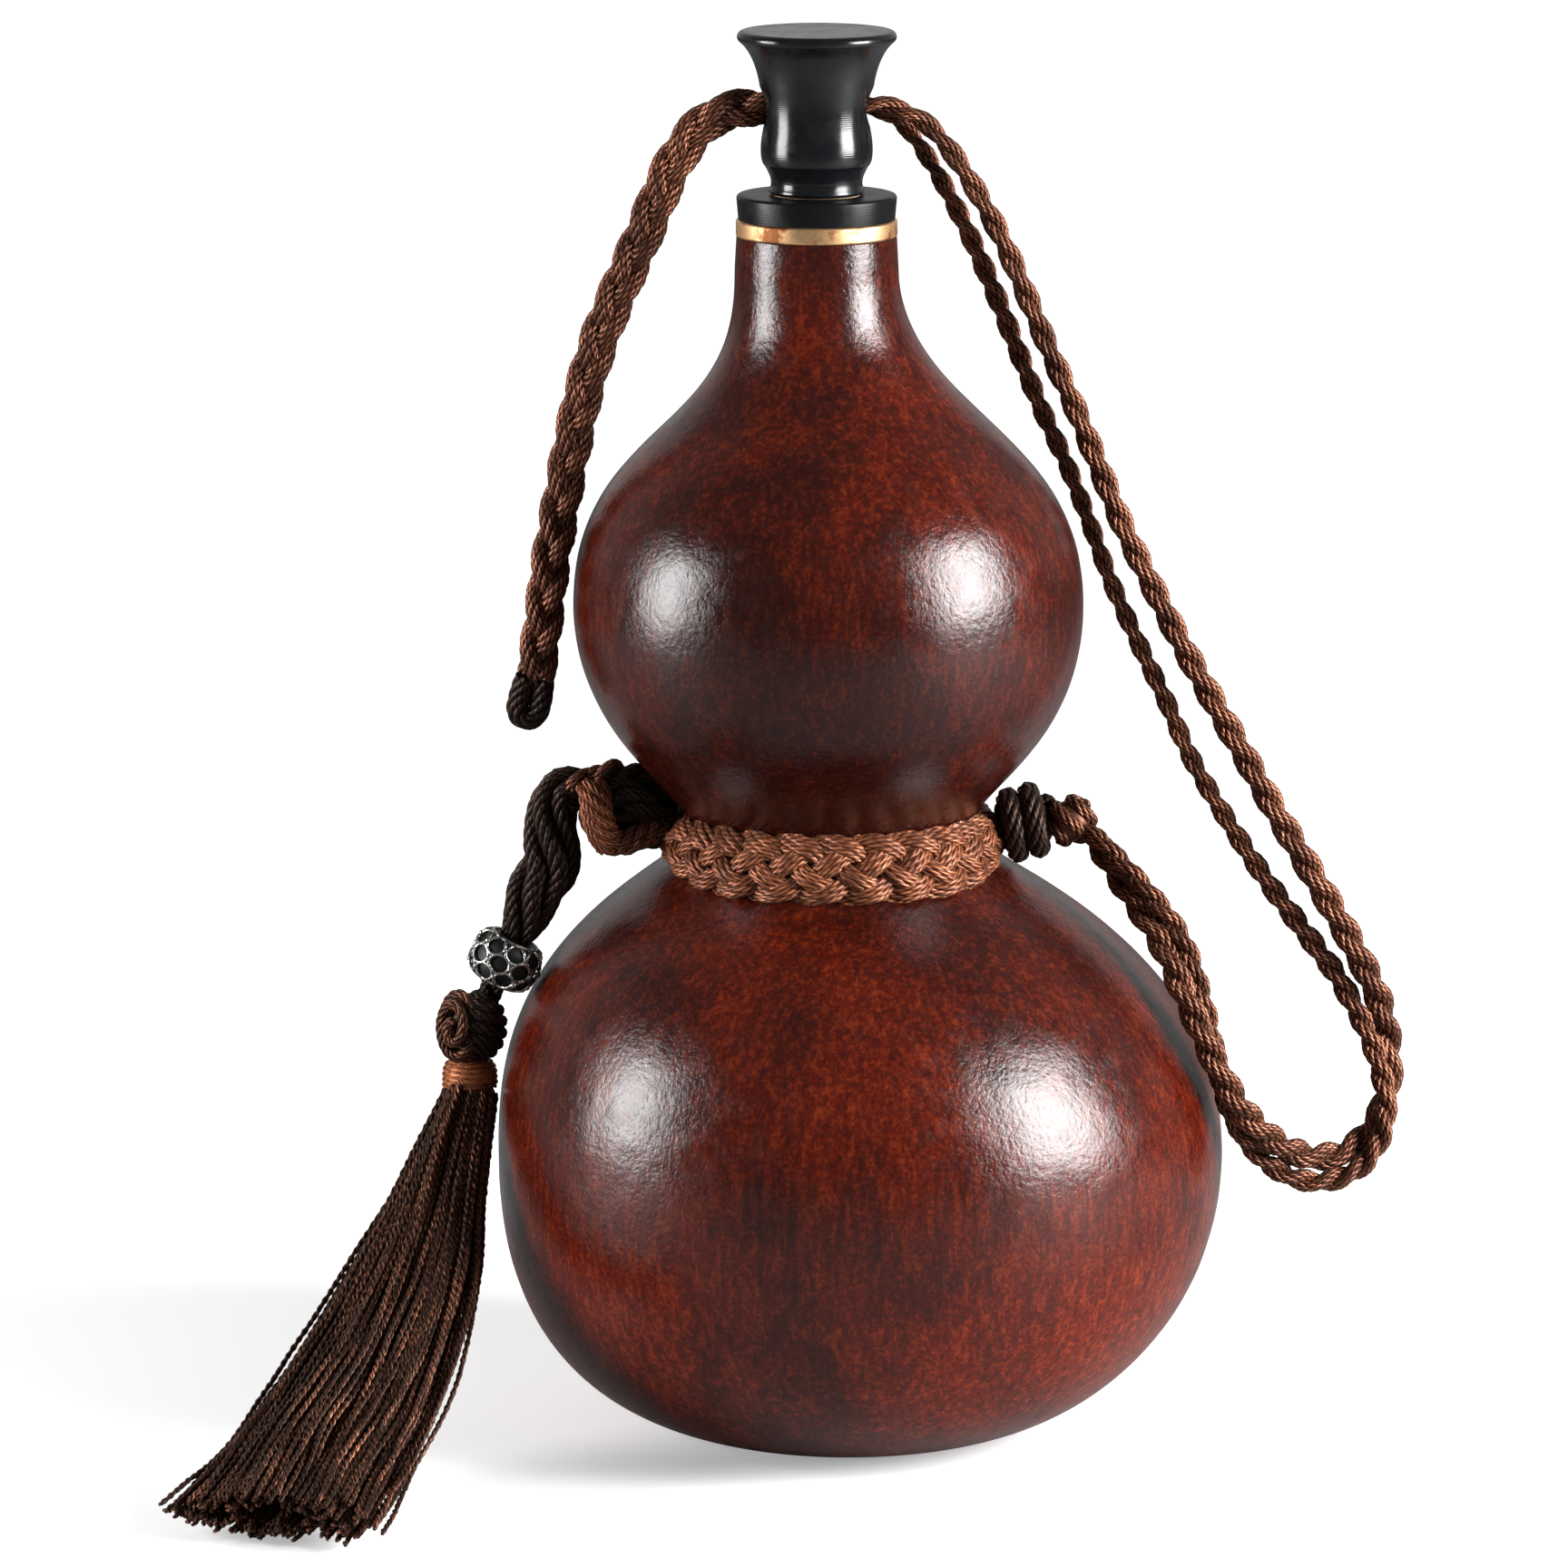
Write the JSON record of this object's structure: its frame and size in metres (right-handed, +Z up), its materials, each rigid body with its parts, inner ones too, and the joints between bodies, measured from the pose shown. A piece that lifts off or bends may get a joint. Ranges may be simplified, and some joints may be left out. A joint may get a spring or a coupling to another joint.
{
  "type": "gourd water bottle",
  "caption": "Double gourd flask with a turned stopper, waist braid, carrying strap and beaded tassel.",
  "frame": {"origin": "middle of the foot, on the surface that the bottle stands on, under the lower bulb's widest ring", "axes": "+Z up through the mouth; the bottle is seen from -Y, with the strap on +X and the tassel on -X"},
  "size_m": [0.2065, 0.147, 0.2365],
  "materials": {
    "gourd": "polished dried gourd, red-brown",
    "brass": "aged, lightly worn",
    "horn": "turned black, satin",
    "cork": "natural cork",
    "cord": "twisted silky thread, brown",
    "dark_cord": "twisted silky thread, dark brown",
    "copper_thread": "close-wound copper-coloured thread",
    "silver": "antique silver, darkened in its recesses"
  },
  "bodies": {
    "root": {"gourd_shell": "gourd", "brass_ring": "brass", "mouth_collar": "horn", "waist_band": "cord", "left_knot": "cord", "right_wrap": "dark_cord", "right_button": "cord", "strap_leg_thick": "cord", "strap_leg_thin": "cord", "strap_lower": "cord"},
    "stopper": {"stopper": "horn", "cork_sleeve": "cork", "strap_pass": "cord", "strap_tail": "cord", "tail_end": "cord"},
    "tassel": {"tassel_lead": "dark_cord", "tassel_head": "cord", "tassel_binding": "copper_thread", "tassel_skirt": "dark_cord"},
    "bead": {"filigree_bead": "silver"}
  },
  "joints": [
    {"name": "stopper_pull", "type": "slide", "parent": "root", "child": "stopper", "axis": [0, 0, 1], "range_m": [0, 0.03], "deforming": ["strap_leg_thick", "strap_leg_thin"]},
    {"name": "tassel_swing", "type": "hinge", "parent": "root", "child": "tassel", "pos_m": [-0.0465, -0.004, 0.109], "axis": [0, 1, 0], "range_deg": [0, 35], "deforming": ["tassel_lead"]},
    {"name": "bead_spin", "type": "hinge", "parent": "tassel", "child": "bead", "pos_m": [-0.0596, -0.004, 0.0808], "axis": [0.4392, 0, 0.8984], "continuous": true}
  ]
}
